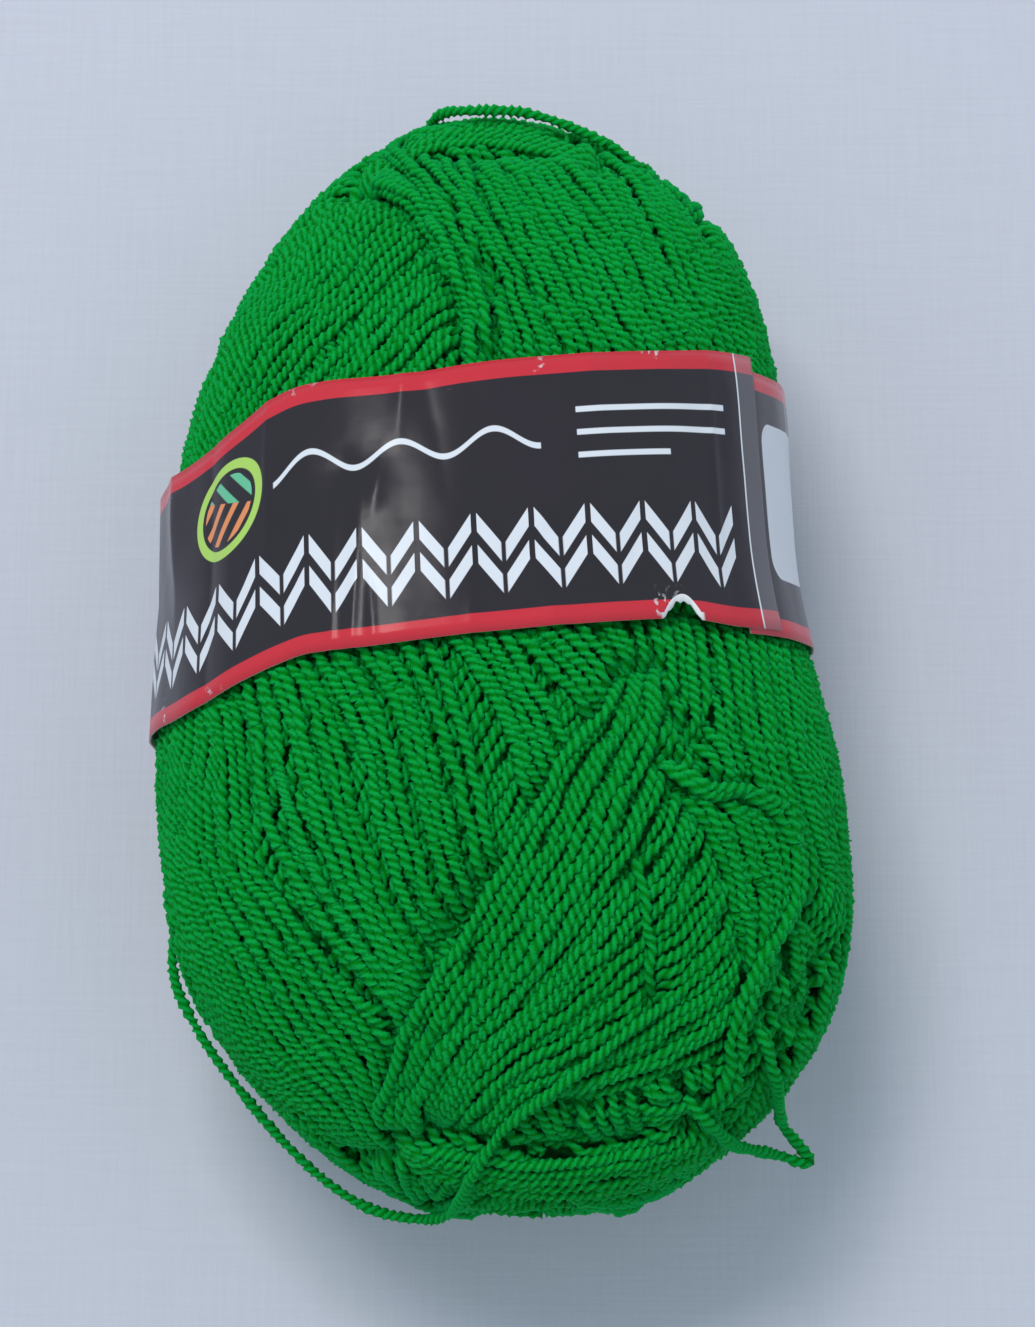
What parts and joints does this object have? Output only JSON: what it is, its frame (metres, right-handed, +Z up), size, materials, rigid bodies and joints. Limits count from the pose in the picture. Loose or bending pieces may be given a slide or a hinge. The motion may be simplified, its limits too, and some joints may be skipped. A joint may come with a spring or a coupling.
{
  "type": "skein of acrylic yarn",
  "caption": "Machine-wound bullet-shaped skein of plied green acrylic yarn, lying on its side with a printed paper belly band and a few slack strands.",
  "frame": {"origin": "on the surface that the skein lies on, under the middle of its bounding box", "axes": "+Y along the winding axis towards the narrow end, +Z up, +X to the right seen from the fuller end"},
  "size_m": [0.101, 0.1622, 0.0848],
  "materials": {
    "acrylic_yarn": "matt plied yarn",
    "loose_yarn": "matt plied yarn",
    "laminated_paper": "gloss laminated print"
  },
  "bodies": {
    "root": {"skein": "acrylic_yarn", "label_band": "laminated_paper", "loose_turn_left": "loose_yarn", "loose_loop_right": "loose_yarn", "loose_turn_top": "loose_yarn"}
  },
  "joints": []
}
